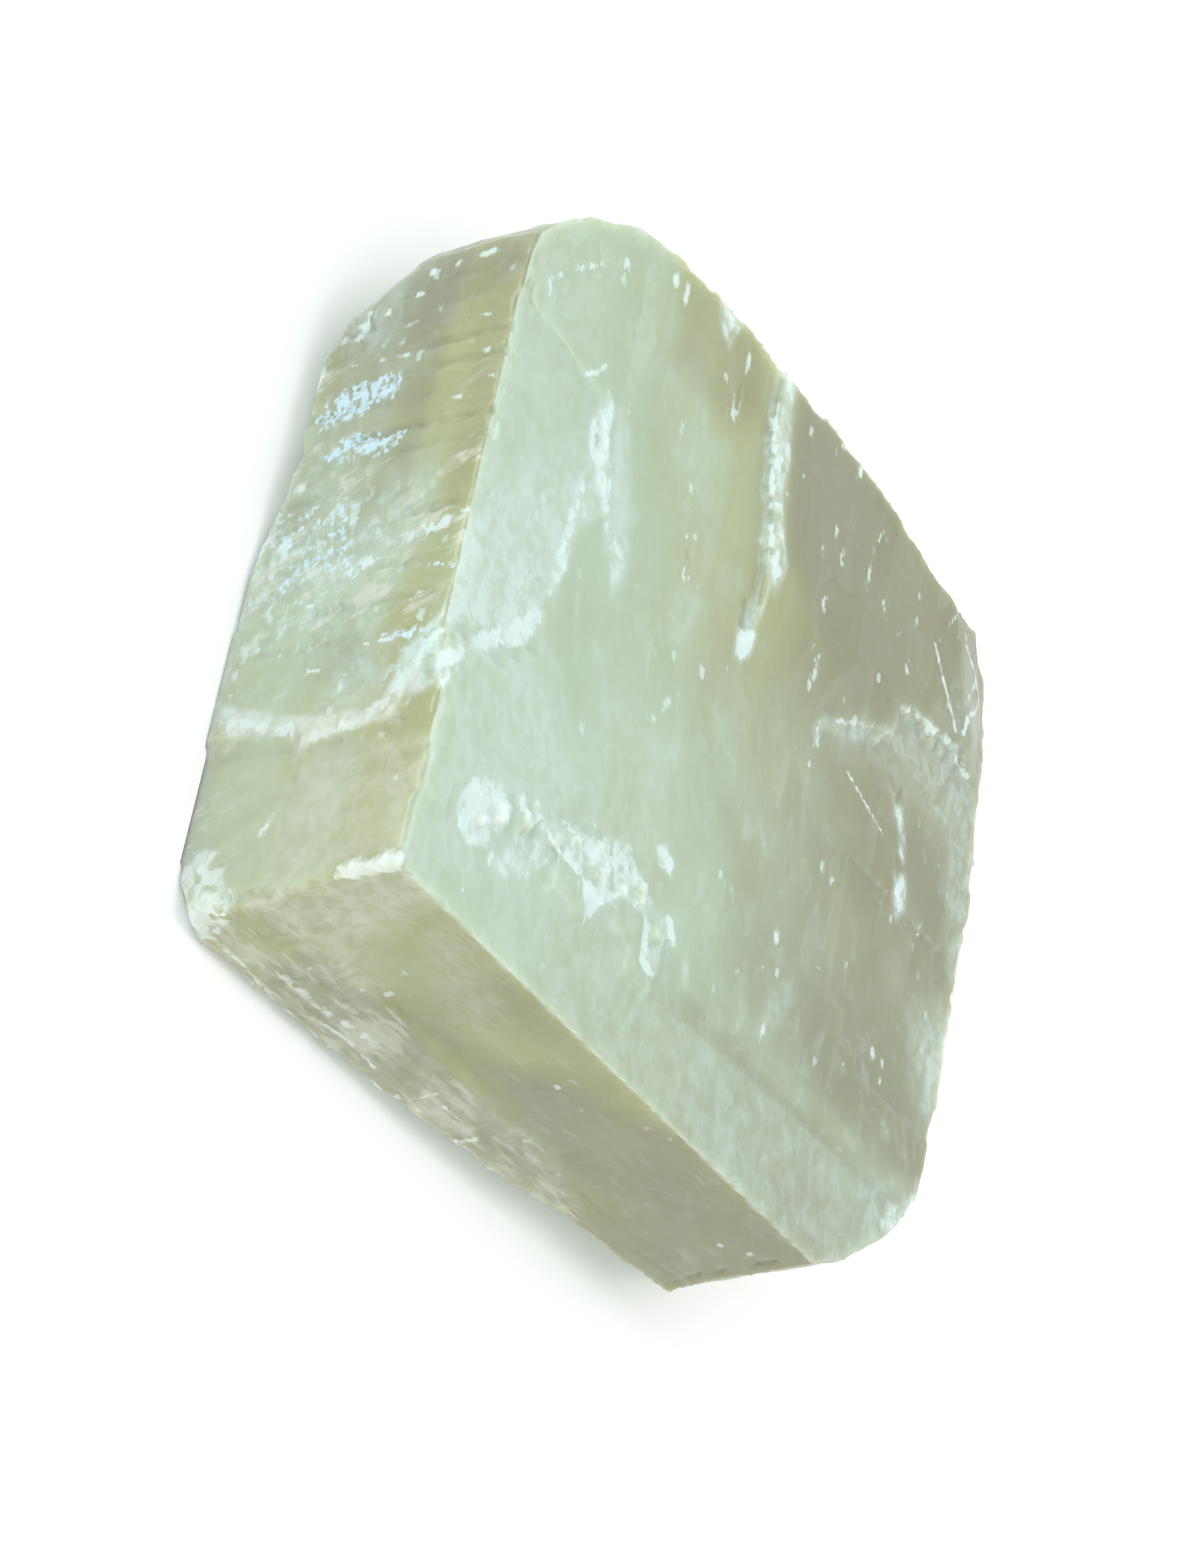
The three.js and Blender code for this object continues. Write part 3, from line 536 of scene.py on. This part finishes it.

# The clear stone, from mint to olive. The sides are darker olive than the top, partly their own colour and
# partly painted shade. Two soft clouds of different size keep it from being even.
DARK_RIM = [(25, 78), (24, 93), (40, 93), (42, 84), (38, 77)]
broad = cloud(13, p / 15, q / 19, r / 13)
patchy = cloud(12, p / 5, q / 8, r / 5)
olive_and_shade = on_top * (0.08 + 0.42 * smooth(18, 60, p + 12 * (broad - 0.5)) + 0.3 * smooth(52, 85, q))
olive_and_shade *= 1 - 0.5 * smooth(40, 60, p) * (1 - smooth(26, 44, q))
olive_and_shade += on_top * 0.14 * smooth(44, 47, p) * smooth(50, 60, q)
olive_and_shade += on_top * 0.3 * inside(p, q, DARK_RIM, 3.0)
# Painted shade in part: below, the sides are made darker olive than the top.
olive_and_shade += on_left * (
    0.62 + 0.28 * smooth(40, 64, q) - 0.25 * smooth(5.5, 10.5, r) + 0.10 * smooth(16, 19, 35 - q)
)
olive_and_shade += on_left * 0.3 * (1 - smooth(3, 6, r)) * smooth(36, 46, q)
olive_and_shade -= on_left * 0.1 * smooth(14.5, 16.5, r) * (1 - smooth(15, 20, q))
# Painted shade in part: this darker patch on the front is partly the stone's colour, partly a hand's
# shade.
FRONT_CLEAR_AND_SHADED = [(28, 13.5), (46, 14.5), (60, 17), (97, 27), (97, 0), (52, -1), (40, 8)]
front_dark_and_shade = inside(p, r, FRONT_CLEAR_AND_SHADED, 3.0)
olive_and_shade += on_front * (0.82 + 0.32 * front_dark_and_shade)
olive_and_shade += 0.75 * (on_right + on_back) + 0.35 * on_base
olive_and_shade += 0.30 * (broad - 0.5) + 0.16 * (patchy - 0.5)
olive_and_shade = np.clip(olive_and_shade * (1 - 0.5 * (1 - flat) * near_top), 0, 1)

# Umber comes in towards the right and the front, and in a few patches of the left side. Part of it is
# painted shade, on the front and along the edge between the top and the left side.
RIGHT_PATCH = [(80, 62), (91, 58), (96, 44), (88, 38), (81, 44)]
NEAR_RIGHT_PATCH = [(81, 18), (88, 25), (91, 15), (84, 12)]
LEFT_PATCH = [(22, 8), (34, 12), (32, 18), (23, 17)]
behind_sliver = smooth(43.5, 49.5, p + 0.12 * (q - 80)) * smooth(58, 76, q + 0.7 * (p - 52))
umber_and_shade = np.maximum.reduce(
    (
        on_top * 0.9 * behind_sliver,
        on_top * inside(p, q, RIGHT_PATCH, 6) * 0.75,
        on_top * inside(p, q, NEAR_RIGHT_PATCH, 2) * 0.5,
        on_top * 0.75 * smooth(32, 70, p + 8 * (broad - 0.5)) * smooth(6, 22, q),
        on_top * 0.68 * smooth(10, 64, p) * (1 - smooth(12, 25, q)),
        on_top * 0.45 * inside(p, q, DARK_RIM, 3.0),
        # Painted shade in part: the front's right part and its foot are darkened as a holding hand would
        # shade them.
        on_front * (0.4 + 0.42 * front_dark_and_shade),
        on_front * 0.95 * smooth(38, 72, p),
        on_front * 0.8 * smooth(14, 17, r) * smooth(6, 12, p),
        on_left * (0.5 * smooth(60, 72, q) + 0.5 * smooth(7, 9.5, r) * smooth(30, 44, q)),
        on_left * 0.35 * (1 - smooth(3, 6, r)) * smooth(36, 46, q),
        on_left * 0.45 * inside(q, r, LEFT_PATCH, 2.0),
        # Painted shade: the edge between the top and the left side is darkened, so lamp highlights show
        # less on it.
        0.6 * (1 - flat) * near_left * near_top,
        0.85 * glassy,
    )
)
umber_and_shade = np.clip(umber_and_shade + 0.3 * (cloud(14, p / 8, q / 12, r / 8) - 0.5), 0, 1)

# Where fine striations and thin layers show, and where flakes catch the window's light and get a painted
# glint.
streaks = on_left * (0.1 + 0.6 * smooth(22, 34, q) * (1 - smooth(44, 54, q)) + 0.3 * smooth(17, 26, r))
streaks = np.maximum(streaks, on_right * 0.5)
layers = on_front * (0.15 + 0.6 * smooth(14.5, 17, r) * (1 - smooth(58, 66, p)))
layers = np.maximum(layers, on_back * 0.5)

UPPER_FLAKES = [(57, 23), (60.5, 20), (60.5, 13), (57.4, 13), (56.3, 17.3), (55, 22)]
LOWER_FLAKES = [(51.5, 21), (53.6, 18), (52.6, 10), (50.4, 11.6), (49.8, 17)]
FAINT_FLAKES = [(34, 23), (47, 26), (45, 15), (36, 12)]
glint = np.maximum.reduce(
    (
        on_left * inside(q, r, UPPER_FLAKES, 0.8),
        on_left * inside(q, r, LOWER_FLAKES, 0.8),
        0.5 * on_left * inside(q, r, FAINT_FLAKES, 2.5),
        0.8 * band([(-0.9, 26.6, 8), (-0.9, 26.6, 3)], 0.7, 1) * on_left,
        0.6 * band([(-0.9, 34.6, 5), (-0.9, 33.4, 1)], 0.7, 1) * on_left,
    )
)
warm = np.clip(on_front + on_left * (1 - smooth(16, 24, q)), 0, 1)

for name, values in (
    ("olive_and_shade", olive_and_shade),
    ("umber_and_shade", umber_and_shade),
    ("veil", veil),
    ("warm", warm),
    ("crushed", crushed),
    ("streaks", streaks),
    ("layers", layers),
    ("glint", glint),
):
    attribute = stone.data.attributes.new(name, "FLOAT", "POINT")
    attribute.data.foreach_set("value", np.clip(values, 0, 1).astype(np.float32))

# The material. Light goes a few millimetres into the stone. The maps above say where each look is, and
# noise and small blocks, both turned to the three cleavage directions, break it up into crystals.

calcite = bpy.data.materials.new("milky_green_calcite")
calcite.use_nodes = True
nodes = calcite.node_tree.nodes
links = calcite.node_tree.links
shader = nodes["Principled BSDF"]
shader.inputs["IOR"].default_value = 1.6
shader.inputs["Subsurface Weight"].default_value = 0.9
shader.inputs["Subsurface Radius"].default_value = (0.95, 1.0, 0.7)
shader.inputs["Subsurface Scale"].default_value = 5 * MM

MINT = (0.405, 0.495, 0.370)
OLIVE = (0.370, 0.382, 0.180)
UMBER = (0.240, 0.238, 0.155)
MILK = (0.535, 0.645, 0.595)
CREAM = (0.590, 0.612, 0.520)
CHALK = (0.615, 0.730, 0.700)
WARM_CHALK = (0.615, 0.680, 0.625)
PAINTED_GLINT_BLUE = (0.560, 0.760, 0.860)


def feed(value, socket):
    if isinstance(value, (int, float)):
        socket.default_value = value
    elif isinstance(value, tuple):
        socket.default_value = (*value, 1)
    else:
        links.new(value, socket)


def read(name):
    node = nodes.new("ShaderNodeAttribute")
    node.attribute_name = name
    return node.outputs["Fac"]


def figure(operation, a, b=0.0, c=0.0):
    node = nodes.new("ShaderNodeMath")
    node.operation = operation
    for socket, value in zip(node.inputs, (a, b, c)):
        feed(value, socket)
    return node.outputs["Value"]


def times(a, b):
    return figure("MULTIPLY", a, b)


def weighed(a, share, rest):
    """A share of one value, added to the rest."""
    return figure("MULTIPLY_ADD", a, share, rest)


def ramp(value, low, high, to_low=0.0, to_high=1.0):
    node = nodes.new("ShaderNodeMapRange")
    node.interpolation_type = "SMOOTHSTEP"
    for socket, number in zip(("From Min", "From Max", "To Min", "To Max"), (low, high, to_low, to_high)):
        node.inputs[socket].default_value = number
    feed(value, node.inputs["Value"])
    return node.outputs["Result"]


def blend(share, first, second):
    node = nodes.new("ShaderNodeMix")
    node.data_type = "RGBA"
    feed(share, node.inputs["Factor"])
    feed(first, node.inputs[6])
    feed(second, node.inputs[7])
    return node.outputs[2]


def crystal_place(lean_up=0.0):
    """Every point's place along the three slanted directions, in millimetres."""
    here = nodes.new("ShaderNodeTexCoord").outputs["Object"]
    together = nodes.new("ShaderNodeCombineXYZ")
    turned = np.linalg.inv(cleavage)
    turned[1] += lean_up * turned[2]
    for socket, row in zip(together.inputs, turned):
        node = nodes.new("ShaderNodeVectorMath")
        node.operation = "DOT_PRODUCT"
        links.new(here, node.inputs[0])
        node.inputs[1].default_value = row / MM
        links.new(figure("SUBTRACT", node.outputs["Value"], float(row @ NEAR_CORNER)), socket)
    return together.outputs["Vector"]


slanted_place = crystal_place()
striated_place = crystal_place(STREAK_LEAN)


def stretched(sizes, where=None):
    node = nodes.new("ShaderNodeMapping")
    node.inputs["Scale"].default_value = [1 / size for size in sizes]
    links.new(where or slanted_place, node.inputs["Vector"])
    return node.outputs["Vector"]


def noise(sizes, detail, roughness=0.5, distortion=0.0, where=None):
    node = nodes.new("ShaderNodeTexNoise")
    node.inputs["Scale"].default_value = 1
    node.inputs["Detail"].default_value = detail
    node.inputs["Roughness"].default_value = roughness
    node.inputs["Distortion"].default_value = distortion
    links.new(stretched(sizes, where), node.inputs["Vector"])
    return node.outputs["Fac"]


def rhombs(sizes):
    """Small cleavage blocks."""
    blocks = nodes.new("ShaderNodeTexVoronoi")
    blocks.distance = "CHEBYCHEV"
    blocks.inputs["Scale"].default_value = 1
    blocks.inputs["Randomness"].default_value = 0.9
    links.new(stretched(sizes), blocks.inputs["Vector"])
    return blocks


def shade(blocks):
    """A random value for each block."""
    node = nodes.new("ShaderNodeSeparateColor")
    links.new(blocks.outputs["Color"], node.inputs["Color"])
    return node.outputs["Red"]


def tilt(blocks):
    """A random slope across each block."""
    apart = nodes.new("ShaderNodeVectorMath")
    apart.operation = "SUBTRACT"
    links.new(blocks.inputs["Vector"].links[0].from_socket, apart.inputs[0])
    links.new(blocks.outputs["Position"], apart.inputs[1])
    lean_way = nodes.new("ShaderNodeVectorMath")
    lean_way.operation = "SUBTRACT"
    links.new(blocks.outputs["Color"], lean_way.inputs[0])
    lean_way.inputs[1].default_value = (0.5, 0.5, 0.5)
    slope = nodes.new("ShaderNodeVectorMath")
    slope.operation = "DOT_PRODUCT"
    links.new(apart.outputs["Vector"], slope.inputs[0])
    links.new(lean_way.outputs["Vector"], slope.inputs[1])
    return slope.outputs["Value"]


haze = noise((9, 15, 8), 4, 0.55, 0.3)
wisps = noise((3.2, 6, 3.2), 4, 0.55, 0.6)
shreds = noise((1.7, 2.2, 1.7), 5, 0.6, 0.5)
fine_lines = noise((2.6, 0.9, 3.2), 5, 0.62, 0.35, striated_place)
fine_sheets = noise((4.4, 3, 0.9), 4, 0.58, 0.3)
clusters = noise((7, 5, 6), 3, 0.5, 0.5, striated_place)
dashes = noise((3, 0.7, 2.6), 3, 0.55, 0.3, striated_place)
flecks = rhombs((2.5, 4, 2.5))
crystals = rhombs((0.9, 1.3, 0.9))
plate_shade = shade(rhombs((6, 11, 5)))
small_shade = shade(rhombs((0.45, 0.6, 0.45)))

# The clear body, then haze, wisps and scattered flecks in it.
body = blend(ramp(weighed(haze, 0.5, read("olive_and_shade")), 0.2, 1.25), MINT, OLIVE)
body = blend(ramp(weighed(haze, 0.4, read("umber_and_shade")), 0.2, 1.2, 0, 0.87), body, UMBER)
cloudy = ramp(read("olive_and_shade"), 0.2, 0.8, 1, 0.35)
body = blend(times(cloudy, ramp(wisps, 0.5, 0.75, 0, 0.28)), body, MILK)
body = blend(times(cloudy, ramp(shreds, 0.56, 0.72, 0, 0.22)), body, MILK)
body = blend(ramp(plate_shade, 0.0, 1.0, 0, 0.07), body, MILK)
scattered = ramp(weighed(shreds, 0.7, flecks.outputs["Distance"]), 0.38, 0.5, 1, 0)
scattered = times(scattered, ramp(shade(flecks), 0.55, 0.85, 0, 0.66))
body = blend(scattered, body, CHALK)

# Veils, then striations and layers.
milky = weighed(plate_shade, 0.2, ramp(shreds, 0.36, 0.62, 0.35, 1.0))
milky = times(read("veil"), milky)
body = blend(milky, body, blend(read("warm"), MILK, CREAM))
drawn = weighed(read("streaks"), 0.3, weighed(clusters, 1.1, fine_lines))
drawn = ramp(drawn, 1.26, 1.46, 0, 0.74)
ragged = times(ramp(read("streaks"), 0.02, 0.2), ramp(shreds, 0.36, 0.6, 0.3, 1))
drawn = times(drawn, ragged)
layered = weighed(read("layers"), 0.25, weighed(clusters, 0.9, fine_sheets))
layered = ramp(layered, 1.08, 1.32, 0.0, 0.52)
layered = times(layered, ramp(read("layers"), 0.05, 0.3))
body = blend(figure("MAXIMUM", drawn, layered), body, CREAM)

# Crushed places, then the flakes that glitter, whose blue-white is a painted glint.
broken = weighed(shade(crystals), 0.5, times(shreds, 0.85))
white = ramp(figure("ADD", read("crushed"), broken), 1.115, 1.575)
white = times(white, ramp(read("crushed"), 0.08, 0.4))
body = blend(times(white, 0.92), body, blend(read("warm"), CHALK, WARM_CHALK))
glint_paint_and_shine = weighed(dashes, 0.5, times(small_shade, 0.4))
glint_paint_and_shine = weighed(shreds, 0.3, glint_paint_and_shine)
glint_paint_and_shine = ramp(weighed(read("glint"), 0.3, glint_paint_and_shine), 0.79, 0.95)
glint_paint_and_shine = times(glint_paint_and_shine, ramp(read("glint"), 0.1, 0.45))
# Painted glint: the flakes' colour is turned blue-white, the way the window's reflection would look.
body = blend(times(glint_paint_and_shine, 0.8), body, PAINTED_GLINT_BLUE)
links.new(body, shader.inputs["Base Color"])

# The crushed places are matt and uneven, and the flakes have a shine.
rough = ramp(figure("MAXIMUM", white, milky), 0.0, 1.0, 0.3, 0.5)
links.new(weighed(glint_paint_and_shine, -0.2, rough), shader.inputs["Roughness"])

flaked = figure("ADD", white, times(read("glint"), 0.8))
heights = times(flaked, times(tilt(crystals), 1.4))
heights = weighed(fine_lines, times(read("streaks"), 0.5), heights)
heights = weighed(fine_sheets, times(read("layers"), 0.5), heights)
heights = weighed(shreds, 0.25, heights)
bump = nodes.new("ShaderNodeBump")
bump.inputs["Strength"].default_value = 0.4
bump.inputs["Distance"].default_value = 0.35 * MM
links.new(heights, bump.inputs["Height"])
links.new(bump.outputs["Normal"], shader.inputs["Normal"])

stone.data.materials.clear()
stone.data.materials.append(calcite)
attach(stone, "root")
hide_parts("calcite_slab")

# The table top is a plain painted white board, far wider than the view. It was sawn flat, and it gives
# the stone a place to rest.

HALF_TABLE = 2.5

table_mesh = bmesh.new()
bmesh.ops.create_grid(table_mesh, x_segments=8, y_segments=8, size=HALF_TABLE)
table = bpy.data.objects.new("table_top", bpy.data.meshes.new("table_top"))
table_mesh.to_mesh(table.data)
table_mesh.free()
bpy.context.scene.collection.objects.link(table)
paint = bpy.data.materials.new("white_table")
paint.use_nodes = True
coat = paint.node_tree.nodes["Principled BSDF"]
coat.inputs["Base Color"].default_value = (0.94, 0.94, 0.93, 1)
coat.inputs["Roughness"].default_value = 0.6
table.data.materials.append(paint)

# Soft daylight: a pale sky all round, a broad lamp overhead and a cool window low on the left, whose
# light glitters on the flaky places of the left side.

sky = bpy.data.worlds.new("pale_sky")
sky.use_nodes = True
daylight = sky.node_tree.nodes["Background"]
daylight.inputs["Color"].default_value = (0.97, 0.99, 1, 1)
daylight.inputs["Strength"].default_value = 0.92
bpy.context.scene.world = sky


def soft_lamp(name, where, size, power, colour):
    lamp = bpy.data.lights.new(name, "AREA")
    lamp.shape = "SQUARE"
    lamp.size = size
    lamp.energy = power
    lamp.color = colour
    holder = bpy.data.objects.new(name, lamp)
    bpy.context.scene.collection.objects.link(holder)
    holder.location = where
    holder.rotation_euler = (-Vector(where)).to_track_quat("-Z", "Y").to_euler()


soft_lamp("overhead", where=(0.15, 0.05, 0.95), size=0.8, power=2.6, colour=(1, 0.99, 0.97))
soft_lamp("window", where=(-0.85, 0.3, 0.5), size=0.35, power=2.4, colour=(0.8, 0.92, 1))
soft_lamp("room", where=(-0.3, -0.9, 0.5), size=0.6, power=1.2, colour=(1, 0.98, 0.94))

# The camera looks down on the top, left and front faces. It is turned almost on its side, and the
# near corner is left of the middle.

VIEW_RIGHT = Vector((0.6188, 0.1804, 0.7646))
VIEW_DOWN = Vector((0.4163, -0.9007, -0.1244))
VIEW_AHEAD = Vector((0.6662, 0.3952, -0.6324))
CORNER_FROM_LENS = (-19.8, 8.65, 355.3)
PICTURE_HEIGHT = 36
LENS_LENGTH = 82.47

lens = Vector(NEAR_CORNER)
for axis, offset in zip((VIEW_RIGHT, VIEW_DOWN, VIEW_AHEAD), CORNER_FROM_LENS):
    lens -= axis * offset
camera = bpy.data.cameras.new("camera")
camera.sensor_fit = "VERTICAL"
camera.sensor_height = PICTURE_HEIGHT
camera.lens = LENS_LENGTH
camera.clip_start = 0.01
holder = bpy.data.objects.new("camera", camera)
bpy.context.scene.collection.objects.link(holder)
turned = Matrix((VIEW_RIGHT, -VIEW_DOWN, -VIEW_AHEAD)).transposed().to_4x4()
holder.matrix_world = Matrix.Translation(lens * MM) @ turned
bpy.context.scene.camera = holder
bpy.context.scene.view_settings.view_transform = "Standard"
